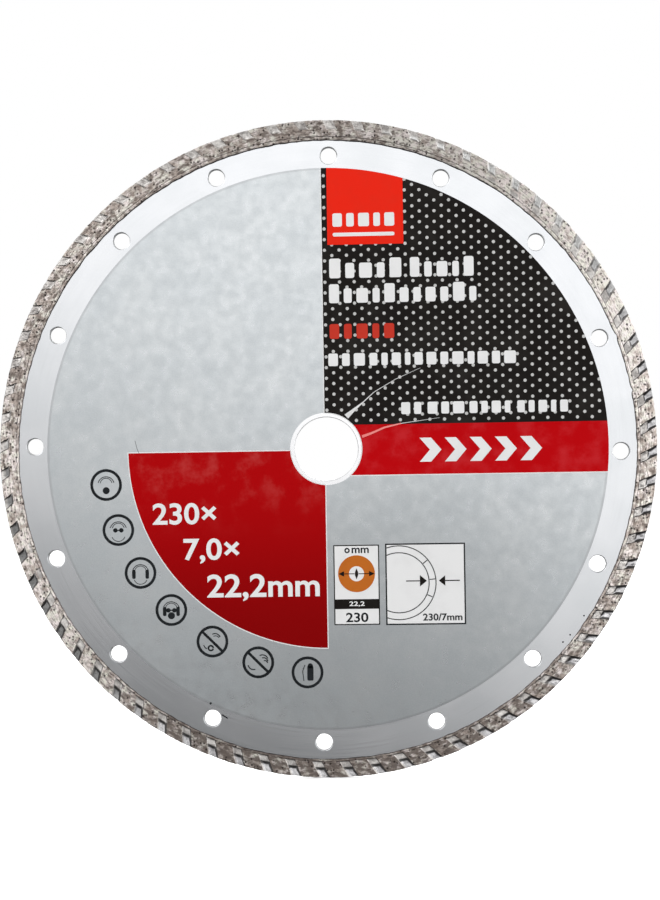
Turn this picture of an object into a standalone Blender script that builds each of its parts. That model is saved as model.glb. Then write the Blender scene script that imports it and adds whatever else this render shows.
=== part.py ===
"""Diamond cutting blade, 230 mm, with a continuous turbo rim.

The blade stands on its edge. Its spin axis is Y, the centre of its bore is the origin, and its
printed face looks towards -Y. Each piece is drawn lying flat, with the printed face up, and one
empty stands them all upright.
"""

import math

import bmesh
import bpy
from mathutils import Matrix, Vector

# Steel core. Every length is in metres.
BORE_RADIUS = 0.0111
CORE_RADIUS = 0.1075
CORE_THICKNESS = 0.0018
BORE_CHAMFER = 0.0003
RELIEF_HOLES = 16
RELIEF_HOLE_RADIUS = 0.00315
RELIEF_CIRCLE_RADIUS = 0.1026
RELIEF_START_DEG = -1.3

# Rim: a plain bond ring pressed on the core, then the ring that holds the diamonds.
FIT_GAP = 0.0003
BOND_WIDTH = 0.0013
BOND_BEVEL = 0.0004  # at the step from the steel up to the rim
RIM_RADIUS = 0.115
RIM_THICKNESS = 0.0028
RIM_BEVEL = 0.00015
KEY_DEPTH = 0.0005  # how far each ring's edge stands out, as a shallow V, into the next ring

# Turbo grooves, pressed into both faces of the rim.
GROOVES = 72
GROOVE_START_DEG = -1.85  # where the printed face's first groove crosses the middle radius
GROOVE_LEAN_DEG = 28.0  # from the radius, turning with the angle as it goes outwards
GROOVE_WIDTH = 0.0028
GROOVE_DEPTH = 0.0007
RAMP_DEPTH = 0.00035
GROOVE_MID_RADIUS = 0.112
RAMP_START = -0.002  # along the groove, from the middle radius
STEP_AT = 0.0002
GROOVE_END = 0.0055
CUT_ABOVE = 0.001

# Printed face: coats of ink side by side, all of one thickness.
PRINT_THICKNESS = 0.0001
PRINT_AIR = 0.00003
PRINT_INNER_RADIUS = 0.01265
PRINT_OUTER_RADIUS = 0.0983
PRINT_GAP = 0.0003
DIVIDE_X = -0.0004
BAND_TOP = 0.0083
BAND_BOTTOM = -0.0093
QUARTER_TOP = -0.0005
QUARTER_RADIUS = 0.0696
SQUARE_LEFT = 0.0015
SQUARE_RIGHT = 0.0281
SQUARE_BOTTOM = 0.0713
BORE_PANEL = (0.0019, -0.0617, 0.0179, -0.0337)  # left, bottom, right, top
RIM_PANEL = (0.02, -0.0619, 0.0479, -0.0334)

RING_STEPS = 144
HOLE_SIDES = 24
ARC_STEP_DEG = 2.5


def clear_scene():
    for obj in list(bpy.data.objects):
        bpy.data.objects.remove(obj, do_unlink=True)


def new_collection(name):
    collection = bpy.data.collections.new(name)
    bpy.context.scene.collection.children.link(collection)
    return collection


def standing_frame(collection):
    """The empty that stands the flat drawing upright: its +Z becomes -Y, and its +Y becomes +Z."""
    frame = bpy.data.objects.new("blade_frame", None)
    frame.rotation_euler = (math.pi / 2, 0.0, 0.0)
    collection.objects.link(frame)
    return frame


def principled(name, colour, roughness, metallic):
    material = bpy.data.materials.new(name)
    material.use_nodes = True
    shader = material.node_tree.nodes["Principled BSDF"]
    shader.inputs["Base Color"].default_value = (*colour, 1.0)
    shader.inputs["Roughness"].default_value = roughness
    shader.inputs["Metallic"].default_value = metallic
    return material


def place(name, data, collection, frame, material=None):
    obj = bpy.data.objects.new(name, data)
    collection.objects.link(obj)
    obj.parent = frame
    if material:
        data.materials.append(material)
    return obj


def make_cutter(obj):
    obj.hide_render = True
    obj.display_type = "WIRE"


def cut(obj, cutter):
    boolean = obj.modifiers.new("cut_" + cutter.name, "BOOLEAN")
    boolean.operation = "DIFFERENCE"
    boolean.solver = "EXACT"
    boolean.object = cutter


def turned_ring(name, profile, collection, frame, material):
    """A ring turned about the axis from a closed profile of (radius, height), its outer side first,
    top to bottom."""
    mesh = bpy.data.meshes.new(name)
    bm = bmesh.new()
    corners = [bm.verts.new((radius, 0.0, height)) for radius, height in profile]
    for corner, following in zip(corners, corners[1:] + corners[:1]):
        bm.edges.new((corner, following))
    bm.to_mesh(mesh)
    bm.free()
    ring = place(name, mesh, collection, frame, material)
    screw = ring.modifiers.new("turn", "SCREW")
    screw.axis = "Z"
    screw.angle = 2 * math.pi
    screw.steps = RING_STEPS
    screw.render_steps = RING_STEPS
    screw.use_merge_vertices = True
    screw.merge_threshold = 0.00001
    screw.use_smooth_shade = False
    return ring


def at_angle(radius, degrees, height=0.0):
    angle = math.radians(degrees)
    return Vector((radius * math.cos(angle), radius * math.sin(angle), height))


# ---------------------------------------------------------------- steel core


def relief_hole_cutter(collection, frame):
    """One mesh of short round bars, one through each relief hole."""
    mesh = bpy.data.meshes.new("relief_hole_cutter")
    bm = bmesh.new()
    for index in range(RELIEF_HOLES):
        angle = RELIEF_START_DEG + index * 360.0 / RELIEF_HOLES
        bmesh.ops.create_cone(
            bm,
            cap_ends=True,
            segments=HOLE_SIDES,
            radius1=RELIEF_HOLE_RADIUS,
            radius2=RELIEF_HOLE_RADIUS,
            depth=CORE_THICKNESS + 2 * CUT_ABOVE,
            matrix=Matrix.Translation(at_angle(RELIEF_CIRCLE_RADIUS, angle)),
        )
    bm.to_mesh(mesh)
    bm.free()
    cutter = place("relief_hole_cutter", mesh, collection, frame)
    make_cutter(cutter)
    return cutter


def steel_core(parts, cutters, frame):
    """The laser-cut plate: bore, relief holes and an edge with a shallow V that keys the rim."""
    half = CORE_THICKNESS / 2
    profile = [
        (CORE_RADIUS, half),
        (CORE_RADIUS + KEY_DEPTH, 0.0),
        (CORE_RADIUS, -half),
        (BORE_RADIUS + BORE_CHAMFER, -half),
        (BORE_RADIUS, -half + BORE_CHAMFER),
        (BORE_RADIUS, half - BORE_CHAMFER),
        (BORE_RADIUS + BORE_CHAMFER, half),
    ]
    steel = principled("bare_steel", (0.62, 0.64, 0.66), 0.38, 1.0)
    core = turned_ring("steel_core", profile, parts, frame, steel)
    cut(core, relief_hole_cutter(cutters, frame))


# ---------------------------------------------------------------- rim


def rim_side(inner, outer, inner_bevel, outer_bevel):
    """The upper half of a rim ring's section, from its outer edge over the top to its inner edge."""
    half = RIM_THICKNESS / 2
    side = [(outer, half - outer_bevel)]
    if outer_bevel:
        side.append((outer - outer_bevel, half))
    if inner_bevel:
        side.append((inner + inner_bevel, half))
    side.append((inner, half - inner_bevel))
    return side


def rim_section(inner, outer, inner_bevel, outer_bevel, outer_key):
    """A rim ring's whole section. A V groove inside takes the neighbour's edge, and outer_key is how
    far its own edge stands out."""
    top = rim_side(inner, outer, inner_bevel, outer_bevel)
    bottom = [(radius, -height) for radius, height in top]
    key = [(outer + outer_key, 0.0)] if outer_key else []
    groove = [(inner + KEY_DEPTH, 0.0)]
    return [top[0], *key, *bottom, *groove, *reversed(top[1:])]


def bond_ring(parts, frame):
    """The plain ring without diamonds that ties the rim to the steel."""
    inner = CORE_RADIUS + FIT_GAP
    section = rim_section(inner, inner + BOND_WIDTH, BOND_BEVEL, 0.0, KEY_DEPTH)
    metal = principled("bond_metal", (0.36, 0.34, 0.32), 0.55, 0.8)
    turned_ring("bond_ring", section, parts, frame, metal)


def groove_outline():
    """Side view of one groove's cutter, along the groove and up: a ramp, a step, and the deep end."""
    face = RIM_THICKNESS / 2
    return [
        (RAMP_START, face + CUT_ABOVE),
        (RAMP_START, face),
        (STEP_AT, face - RAMP_DEPTH),
        (STEP_AT, face - GROOVE_DEPTH),
        (GROOVE_END, face - GROOVE_DEPTH),
        (GROOVE_END, face + CUT_ABOVE),
    ]


def add_prism(bm, outline, width, matrix):
    """Adds the outline, drawn along x and up z, as a bar that is width wide along y."""
    near = [bm.verts.new(matrix @ Vector((x, -width / 2, z))) for x, z in outline]
    face = bm.faces.new(near)
    extruded = bmesh.ops.extrude_face_region(bm, geom=[face])["geom"]
    far = [item for item in extruded if isinstance(item, bmesh.types.BMVert)]
    across = matrix.to_3x3() @ Vector((0.0, width, 0.0))
    bmesh.ops.translate(bm, vec=across, verts=far)


def groove_cutter(name, side, start_deg, collection, frame):
    """The cutters of every groove on one face. side is 1 on the printed face, -1 on the back."""
    mesh = bpy.data.meshes.new(name)
    bm = bmesh.new()
    over_the_plane = Matrix.Diagonal((1.0, 1.0, side, 1.0))
    for index in range(GROOVES):
        angle = start_deg + index * 360.0 / GROOVES
        centre = Matrix.Translation(at_angle(GROOVE_MID_RADIUS, angle))
        lean = Matrix.Rotation(math.radians(angle + GROOVE_LEAN_DEG), 4, "Z")
        add_prism(bm, groove_outline(), GROOVE_WIDTH, centre @ lean @ over_the_plane)
    bmesh.ops.recalc_face_normals(bm, faces=bm.faces)
    bm.to_mesh(mesh)
    bm.free()
    cutter = place(name, mesh, collection, frame)
    make_cutter(cutter)
    return cutter


def diamond_rim(parts, cutters, frame):
    """The sintered ring. The grooves of its two faces alternate, so its edge is a wave."""
    inner = CORE_RADIUS + FIT_GAP + BOND_WIDTH + FIT_GAP
    section = rim_section(inner, RIM_RADIUS, 0.0, RIM_BEVEL, 0.0)
    sinter = principled("sintered_metal", (0.42, 0.38, 0.35), 0.7, 0.45)
    rim = turned_ring("diamond_rim", section, parts, frame, sinter)
    back_start = GROOVE_START_DEG + 180.0 / GROOVES
    cut(rim, groove_cutter("front_groove_cutter", 1, GROOVE_START_DEG, cutters, frame))
    cut(rim, groove_cutter("back_groove_cutter", -1, back_start, cutters, frame))


# ---------------------------------------------------------------- printed face


def arc(radius, start_deg, end_deg):
    """Points along an arc, both ends included, from start to end whichever way that turns."""
    steps = max(1, math.ceil(abs(end_deg - start_deg) / ARC_STEP_DEG))
    turn = (end_deg - start_deg) / steps
    return [at_angle(radius, start_deg + turn * step).xy for step in range(steps + 1)]


def angle_at_x(radius, x):
    """The angle above the X axis where a circle reaches this x."""
    return math.degrees(math.acos(x / radius))


def angle_at_y(radius, y):
    """The angle on the right-hand side where a circle reaches this y."""
    return math.degrees(math.asin(y / radius))


def rectangle(left, bottom, right, top, margin=0.0):
    return [
        Vector((left - margin, bottom - margin)),
        Vector((right + margin, bottom - margin)),
        Vector((right + margin, top + margin)),
        Vector((left - margin, top + margin)),
    ]


def ink_coat(name, outlines, parts, frame, colour, roughness=0.35):
    """One coat of ink: flat outlines, the first the edge and the others holes, at print thickness."""
    curve = bpy.data.curves.new(name, "CURVE")
    curve.dimensions = "2D"
    curve.fill_mode = "BOTH"
    curve.extrude = PRINT_THICKNESS / 2
    for outline in outlines:
        spline = curve.splines.new("POLY")
        spline.points.add(len(outline) - 1)
        for point, corner in zip(spline.points, outline):
            point.co = (corner.x, corner.y, 0.0, 1.0)
        spline.use_cyclic_u = True
    coat = place(name, curve, parts, frame, principled(name + "_ink", colour, roughness, 0.0))
    coat.location.z = CORE_THICKNESS / 2 + PRINT_AIR + PRINT_THICKNESS / 2


def silver_field_outline():
    """Three quarters of the printed ring, less the dark red quarter disc at the lower left."""
    inner, outer = PRINT_INNER_RADIUS, PRINT_OUTER_RADIUS
    left_of_divide = DIVIDE_X - PRINT_GAP / 2
    right_of_divide = DIVIDE_X + PRINT_GAP / 2
    below_band = BAND_BOTTOM - PRINT_GAP
    quarter_edge = QUARTER_RADIUS + PRINT_GAP
    above_quarter = QUARTER_TOP + PRINT_GAP
    outline = arc(outer, angle_at_x(outer, left_of_divide), 360.0 + angle_at_y(outer, below_band))
    outline += arc(inner, angle_at_y(inner, below_band), -angle_at_x(inner, right_of_divide))
    outline += arc(
        quarter_edge,
        -angle_at_x(quarter_edge, right_of_divide),
        -180.0 - angle_at_y(quarter_edge, above_quarter),
    )
    outline += arc(inner, 180.0 - angle_at_y(inner, above_quarter), angle_at_x(inner, left_of_divide))
    return outline


def black_field_outline():
    """The upper right quarter of the printed ring, less the red square at its top."""
    inner, outer = PRINT_INNER_RADIUS, PRINT_OUTER_RADIUS
    left = DIVIDE_X + PRINT_GAP / 2
    square_left = SQUARE_LEFT - PRINT_GAP
    square_right = SQUARE_RIGHT + PRINT_GAP
    square_bottom = SQUARE_BOTTOM - PRINT_GAP
    bottom = BAND_TOP + PRINT_GAP / 2
    outline = arc(inner, angle_at_y(inner, bottom), angle_at_x(inner, left))
    outline += arc(outer, angle_at_x(outer, left), angle_at_x(outer, square_left))
    outline += [Vector((square_left, square_bottom)), Vector((square_right, square_bottom))]
    outline += arc(outer, angle_at_x(outer, square_right), angle_at_y(outer, bottom))
    return outline


def red_square_outline():
    """A square whose top side is the edge of the print."""
    outer = PRINT_OUTER_RADIUS
    outline = [Vector((SQUARE_LEFT, SQUARE_BOTTOM)), Vector((SQUARE_RIGHT, SQUARE_BOTTOM))]
    outline += arc(outer, angle_at_x(outer, SQUARE_RIGHT), angle_at_x(outer, SQUARE_LEFT))
    return outline


def red_band_outline():
    """The band that runs from the bore to the right-hand edge of the print."""
    inner, outer = PRINT_INNER_RADIUS, PRINT_OUTER_RADIUS
    top = BAND_TOP - PRINT_GAP / 2
    outline = arc(outer, angle_at_y(outer, BAND_BOTTOM), angle_at_y(outer, top))
    outline += arc(inner, angle_at_y(inner, top), angle_at_y(inner, BAND_BOTTOM))
    return outline


def dark_red_quarter_outline():
    """The quarter disc at the lower left, cut round the bore."""
    inner, outer = PRINT_INNER_RADIUS, QUARTER_RADIUS
    right = DIVIDE_X - PRINT_GAP / 2
    outline = arc(outer, 180.0 - angle_at_y(outer, QUARTER_TOP), 360.0 - angle_at_x(outer, right))
    outline += arc(inner, 360.0 - angle_at_x(inner, right), 180.0 - angle_at_y(inner, QUARTER_TOP))
    return outline


def printed_face(parts, frame):
    panel_windows = [
        rectangle(*BORE_PANEL, margin=PRINT_GAP),
        rectangle(*RIM_PANEL, margin=PRINT_GAP),
    ]
    silver = (0.62, 0.65, 0.66)
    ink_coat("print_silver_field", [silver_field_outline(), *panel_windows], parts, frame, silver)
    ink_coat("print_black_field", [black_field_outline()], parts, frame, (0.012, 0.012, 0.012))
    ink_coat("print_red_square", [red_square_outline()], parts, frame, (0.85, 0.03, 0.012))
    ink_coat("print_red_band", [red_band_outline()], parts, frame, (0.58, 0.004, 0.006))
    ink_coat("print_dark_red_quarter", [dark_red_quarter_outline()], parts, frame, (0.42, 0.002, 0.004))
    ink_coat("print_bore_panel", [rectangle(*BORE_PANEL)], parts, frame, (0.86, 0.86, 0.86))
    ink_coat("print_rim_panel", [rectangle(*RIM_PANEL)], parts, frame, (0.86, 0.86, 0.86))


def main():
    clear_scene()
    parts = new_collection("diamond_blade")
    cutters = new_collection("cutters")
    frame = standing_frame(parts)
    steel_core(parts, cutters, frame)
    bond_ring(parts, frame)
    diamond_rim(parts, cutters, frame)
    printed_face(parts, frame)


main()
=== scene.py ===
"""The looks of a 230 mm turbo diamond blade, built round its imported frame.

The blade stands on its edge, its printed face towards -Y. Flat shapes are drawn as (x, z) points, as
that face shows them, and each then stands at its own depth along Y. Lengths are in metres, and
angles in degrees, anticlockwise from +X as the printed face is seen.
"""

import math

import bmesh
import bpy
from mathutils import Matrix, Vector, noise


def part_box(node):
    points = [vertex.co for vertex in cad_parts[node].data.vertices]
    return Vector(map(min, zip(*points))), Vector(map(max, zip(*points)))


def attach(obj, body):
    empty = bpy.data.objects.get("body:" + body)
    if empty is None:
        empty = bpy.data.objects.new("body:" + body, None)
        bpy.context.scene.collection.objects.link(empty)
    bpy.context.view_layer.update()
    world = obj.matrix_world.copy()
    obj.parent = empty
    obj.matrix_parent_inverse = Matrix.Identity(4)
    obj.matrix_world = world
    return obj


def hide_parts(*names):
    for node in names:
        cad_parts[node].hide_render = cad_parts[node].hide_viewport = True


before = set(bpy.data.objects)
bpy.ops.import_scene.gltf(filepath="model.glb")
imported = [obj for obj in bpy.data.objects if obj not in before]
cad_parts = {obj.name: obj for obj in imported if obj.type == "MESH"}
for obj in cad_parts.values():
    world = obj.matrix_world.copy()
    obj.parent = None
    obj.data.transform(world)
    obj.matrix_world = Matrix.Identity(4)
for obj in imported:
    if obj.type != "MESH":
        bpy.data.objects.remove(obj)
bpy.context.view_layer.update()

MM = 0.001
BODY = "root"

# ---------------- sizes, from the frame

STEEL_EDGE_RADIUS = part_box("steel_core")[1].x
STEEL_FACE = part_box("steel_core")[1].y
RIM_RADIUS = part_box("diamond_rim")[1].x
RIM_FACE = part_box("diamond_rim")[1].y
BORE_RADIUS = 11.1 * MM
BORE_CHAMFER = 0.2 * MM
PRINT_INNER_RADIUS = 12.65 * MM
PRINT_OUTER_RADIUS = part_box("print_silver_field")[1].z

COAT = 0.03 * MM  # one coat of lacquer or ink
LACQUER, WHITE_BASE, FIELD, PATTERN, DRAWING, BADGE = range(1, 7)  # the coats, from the steel out
HALO = 0.35 * MM  # how far the white base shows round the colours on it


def face_box(node):
    """(left, bottom, right, top) of a CAD node, as the printed face shows it."""
    low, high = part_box(node)
    return low.x, low.z, high.x, high.z


# ---------------- flat outlines


def at_angle(radius, degrees, centre=(0.0, 0.0)):
    angle = math.radians(degrees)
    return centre[0] + radius * math.cos(angle), centre[1] + radius * math.sin(angle)


def arc(radius, start, end, centre=(0.0, 0.0), step=2.0):
    """Points along an arc, both ends included, whichever way it turns."""
    count = max(2, math.ceil(abs(end - start) / step))
    turn = (end - start) / count
    return [at_angle(radius, start + turn * index, centre) for index in range(count + 1)]


def circle(radius, centre=(0.0, 0.0), sides=24):
    return [at_angle(radius, 360.0 * index / sides, centre) for index in range(sides)]


def ring(outer, inner, centre=(0.0, 0.0), sides=48):
    return [circle(outer, centre, sides), circle(inner, centre, sides)]


def rectangle(left, bottom, right, top, margin=0.0):
    left, bottom, right, top = left - margin, bottom - margin, right + margin, top + margin
    return [(left, bottom), (right, bottom), (right, top), (left, top)]


def rounded_bar(left, bottom, right, top, corner):
    """A rectangle with round corners."""
    outline = []
    corners = [(right, top, 0), (left, top, 90), (left, bottom, 180), (right, bottom, 270)]
    for x, z, start in corners:
        inwards = Vector((x - (left + right) / 2, z - (bottom + top) / 2))
        centre = (x - math.copysign(corner, inwards.x), z - math.copysign(corner, inwards.y))
        outline += arc(corner, start, start + 90.0, centre, step=18.0)
    return outline


def arc_stroke(radius, width, start, end, centre=(0.0, 0.0), step=6.0):
    """A curved line of one width."""
    outer = arc(radius + width / 2, start, end, centre, step)
    return outer + arc(radius - width / 2, end, start, centre, step)


def ribbon(points, widths):
    """A line through the points, as wide as widths says at each of them."""
    left, right = [], []
    for index, (point, width) in enumerate(zip(points, widths)):
        before = Vector(points[max(index - 1, 0)])
        after = Vector(points[min(index + 1, len(points) - 1)])
        across = (after - before).normalized().orthogonal() * width / 2
        left.append(tuple(Vector(point) + across))
        right.append(tuple(Vector(point) - across))
    return left + right[::-1]


def arrow(tail, tip, line, head_length, head_width):
    """An arrow with a solid head, from tail to tip."""
    tail, tip = Vector(tail), Vector(tip)
    along = (tip - tail).normalized()
    across = along.orthogonal()
    neck = tip - along * head_length
    half = [tail + across * line / 2, neck + across * line / 2, neck + across * head_width / 2]
    other_half = [point - 2 * across * (point - tail).dot(across) for point in half]
    return [tuple(point) for point in half + [tip] + other_half[::-1]]


def angle_at_x(radius, x):
    """The angle above the X axis where a circle reaches this x."""
    return math.degrees(math.acos(x / radius))


def angle_at_z(radius, z):
    """The angle on the right-hand side where a circle reaches this z."""
    return math.degrees(math.asin(z / radius))


def moved(points, centre=(0.0, 0.0), scale=MM):
    """Points drawn about the origin, in millimetres unless scale says otherwise, now about centre."""
    return [(centre[0] + x * scale, centre[1] + z * scale) for x, z in points]


# ---------------- pieces


def new_object(name, data):
    made = bpy.data.objects.new(name, data)
    bpy.context.scene.collection.objects.link(made)
    return made


def finished_mesh(name, bm):
    """The mesh that a bmesh describes. The bmesh is freed."""
    mesh = bpy.data.meshes.new(name)
    bm.to_mesh(mesh)
    bm.free()
    return mesh


def add_piece(name, mesh, material, slot, *replaced):
    """Shows a mesh that is already in place, as one piece that rides on the blade."""
    mesh.name = name
    mesh.materials.clear()
    mesh.materials.append(material)
    piece = new_object(name, mesh)
    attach(piece, BODY)
    if replaced:
        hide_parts(*replaced)


def mesh_from(data):
    """The mesh that a curve or a text makes."""
    helper = new_object("helper", data)
    depsgraph = bpy.context.evaluated_depsgraph_get()
    mesh = bpy.data.meshes.new_from_object(helper.evaluated_get(depsgraph))
    bpy.data.objects.remove(helper)
    return mesh


def flat_shape(outlines):
    """A sheet one coat thick, lying in XY. An outline inside another one is a hole."""
    curve = bpy.data.curves.new("outline", "CURVE")
    curve.dimensions = "2D"
    curve.fill_mode = "BOTH"
    curve.extrude = COAT / 2
    for outline in outlines:
        spline = curve.splines.new("POLY")
        spline.points.add(len(outline) - 1)
        for point, (x, z) in zip(spline.points, outline):
            point.co = (x, z, 0.0, 1.0)
        spline.use_cyclic_u = True
    return mesh_from(curve)


def flat_number(text, left, bottom, right, top, boldness=0.02):
    """Figures one coat thick, lying in XY and fitted to a box."""
    font = bpy.data.curves.new("number", "FONT")
    font.body = text
    font.extrude = COAT / 2
    font.offset = boldness
    font.resolution_u = 5
    mesh = mesh_from(font)
    xs = [vertex.co.x for vertex in mesh.vertices]
    ys = [vertex.co.y for vertex in mesh.vertices]
    wide = (right - left) / (max(xs) - min(xs))
    tall = (top - bottom) / (max(ys) - min(ys))
    fit = Matrix.Translation((left, bottom, 0.0)) @ Matrix.Diagonal((wide, tall, 1.0, 1.0))
    mesh.transform(fit @ Matrix.Translation((-min(xs), -min(ys), 0.0)))
    return mesh


def printed(name, sheets, coat, ink_name, *replaced):
    """One printed piece: flat sheets, stood up on the printed face at the height of their coat."""
    bm = bmesh.new()
    for sheet in sheets:
        bm.from_mesh(sheet)
        bpy.data.meshes.remove(sheet)
    bmesh.ops.remove_doubles(bm, verts=bm.verts, dist=COAT / 20)
    bmesh.ops.dissolve_degenerate(bm, edges=bm.edges, dist=COAT / 20)
    height = STEEL_FACE + COAT * (coat - 0.5)
    upright = Matrix.Translation((0.0, -height, 0.0)) @ Matrix.Rotation(math.pi / 2, 4, "X")
    bmesh.ops.transform(bm, matrix=upright, verts=bm.verts)
    add_piece(name, finished_mesh(name, bm), *INKS[ink_name], *replaced)


def printed_shape(name, outlines, coat, ink_name, *replaced):
    """A printed piece made of one flat shape."""
    printed(name, [flat_shape(outlines)], coat, ink_name, *replaced)


def sharpened(bm, loop):
    """The edges of a closed loop of vertices, now sharp."""
    edges = [bm.edges.get((loop[index - 1], loop[index])) for index in range(len(loop))]
    for edge in edges:
        edge.smooth = False
    return edges


def polar_grid(name, section, turns, place, creased=()):
    """A closed solid swept round the axis: place(radius, y, turn) gives each point of the closed
    section at each turn. A full circle joins up, and a shorter sweep is capped at both ends. The
    lines along the section at the turns in creased are sharp."""
    bm = bmesh.new()
    closed = abs(turns[-1] - turns[0]) > 359.0
    rows = [
        [bm.verts.new(place(radius, y, turn)) for radius, y in section]
        for turn in (turns[:-1] if closed else turns)
    ]
    following_rows = rows[1:] + ([rows[0]] if closed else [])
    for row, following in zip(rows, following_rows):
        for index in range(len(section)):
            nearby = (index + 1) % len(section)
            bm.faces.new((row[index], row[nearby], following[nearby], following[index]))
    for turn, row in zip(turns, rows):
        if turn in creased:
            sharpened(bm, row)
    if not closed:
        for row in (rows[0][::-1], rows[-1]):
            bm.faces.new(row)
            sharpened(bm, row)
    bmesh.ops.recalc_face_normals(bm, faces=bm.faces)
    return finished_mesh(name, bm)


# ---------------- material nodes


class Value:
    """One output of a node. Arithmetic on it adds Math nodes."""

    def __init__(self, tree, socket):
        self.tree = tree
        self.socket = socket

    def __add__(self, other):
        return maths("ADD", self, other)

    def __sub__(self, other):
        return maths("SUBTRACT", self, other)

    def __mul__(self, other):
        return maths("MULTIPLY", self, other)

    def __abs__(self):
        return maths("ABSOLUTE", self)

    def other_output(self, name):
        return Value(self.tree, self.socket.node.outputs[name])


def new_material(name, metallic=0.0, roughness=0.5, **constants):
    """A material, its node tree and its Principled shader, with these constants on the shader."""
    material = bpy.data.materials.new(name)
    material.use_nodes = True
    shader = material.node_tree.nodes["Principled BSDF"]
    for socket, value in {"Metallic": metallic, "Roughness": roughness, **constants}.items():
        shader.inputs[socket.replace("_", " ")].default_value = value
    return material, material.node_tree, shader


def feed(shader, socket, value):
    value.tree.links.new(value.socket, shader.inputs[socket])


def node(tree, kind, output=0, inputs=None, **attributes):
    """Adds a node and gives one of its outputs. inputs maps a socket to a constant or a Value."""
    made = tree.nodes.new("ShaderNode" + kind)
    for name, value in attributes.items():
        setattr(made, name, value)
    for key, value in (inputs or {}).items():
        if isinstance(value, Value):
            tree.links.new(value.socket, made.inputs[key])
        else:
            made.inputs[key].default_value = value
    return Value(tree, made.outputs[output])


def maths(operation, first, second=0.0):
    return node(first.tree, "Math", 0, {0: first, 1: second}, operation=operation)


def vector_maths(operation, output, first, second=(0.0, 0.0, 0.0)):
    return node(first.tree, "VectorMath", output, {0: first, 1: second}, operation=operation)


def scaled(colour, factor):
    return node(colour.tree, "VectorMath", 0, {0: colour, "Scale": factor}, operation="SCALE")


def component(vector, axis):
    return node(vector.tree, "SeparateXYZ", axis, {0: vector})


def blend(factor, first, second):
    """Mixes two colours. Each is a Value, or plain red, green and blue."""
    ends = [(*end, 1.0) if isinstance(end, tuple) else end for end in (first, second)]
    return node(factor.tree, "Mix", 2, {"Factor": factor, 6: ends[0], 7: ends[1]}, data_type="RGBA")


def blend_numbers(factor, first, second):
    return node(factor.tree, "Mix", 0, {"Factor": factor, 2: first, 3: second}, data_type="FLOAT")


def spread(value, low, high, to_low=0.0, to_high=1.0):
    """Maps low..high to to_low..to_high, with soft ends."""
    inputs = {"Value": value, "From Min": low, "From Max": high, "To Min": to_low, "To Max": to_high}
    return node(value.tree, "MapRange", 0, inputs, interpolation_type="SMOOTHSTEP")


def around(vector, place, inner, outer, middle=1.0, outside=0.0):
    """middle within inner of a place on the blade, and outside beyond outer, in millimetres."""
    x, z = place
    away = vector_maths("DISTANCE", "Value", vector, (x * MM, 0.0, z * MM))
    return spread(away, inner * MM, outer * MM, middle, outside)


def cloud(vector, scale, detail=2.0, roughness=0.5):
    """Noise around 0.5. scale is in cells a metre."""
    inputs = {"Vector": vector, "Scale": scale, "Detail": detail, "Roughness": roughness}
    return node(vector.tree, "TexNoise", "Fac", inputs)


def radius_of(vector):
    """Distance from the spin axis in metres."""
    flat = {"X": component(vector, "X"), "Y": component(vector, "Z")}
    return vector_maths("LENGTH", "Value", node(vector.tree, "CombineXYZ", 0, flat))


def streaks(vector, across, along, detail=3.0):
    """Noise drawn out round the axis: across is in cells a metre, and along in cells a radian."""
    angle = maths("ARCTAN2", component(vector, "Z"), component(vector, "X"))
    drawn_out = {
        "X": radius_of(vector) * across,
        "Y": angle * along,
        "Z": component(vector, "Y") * across,
    }
    return cloud(node(vector.tree, "CombineXYZ", 0, drawn_out), 1.0, detail)


def along_the_circle(vector):
    """The direction round the spin axis."""
    inputs = {0: (0.0, 1.0, 0.0), 1: vector}
    return node(vector.tree, "VectorMath", 0, inputs, operation="CROSS_PRODUCT")


def flatness(tree):
    """1 where the surface faces along the spin axis, as the blade's faces do, down to 0 on edges."""
    return abs(component(node(tree, "TexCoord", "Normal"), "Y"))


def add_bump(shader, height, depth):
    """Bumps of this depth in metres, on top of any that the shader already has."""
    inputs = {"Height": height, "Distance": depth, "Strength": 1.0}
    normal = shader.inputs["Normal"]
    if normal.is_linked:
        inputs["Normal"] = Value(height.tree, normal.links[0].from_socket)
    feed(shader, "Normal", node(height.tree, "Bump", 0, inputs))


def grey(level):
    return (level, level, level, 1.0)


# ---------------- materials

# Places on the printed face, as (x, z) in millimetres
LACQUER_SHADE_SPOT = (30.0, -65.0)  # painted shade: the lacquer is darkest round this place
PAINTED_LIGHT_UPPER_RIGHT = (88.0, 76.0)  # painted highlight on pads, painted shadow on groove floors, round here
GROOVE_HIGHLIGHT_SPOT = (22.0, 110.0)  # painted highlight on groove floors, less painted shadow on walls, round here
PAD_HIGHLIGHT_SPOT = (110.0, 18.0)  # the pads get their strongest painted highlight round here
PAINTED_LIGHT_LOWER_LEFT = (-102.0, -48.0)  # darkest painted shadow on groove floors, painted highlight on pads, round here

INK_GLOSS = 0.08
INK_ROUGHNESS = (0.33, 0.46)
INK_GRAIN = 1800.0  # in cells a metre
INK_GRAIN_DEPTH = 0.003 * MM


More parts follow.
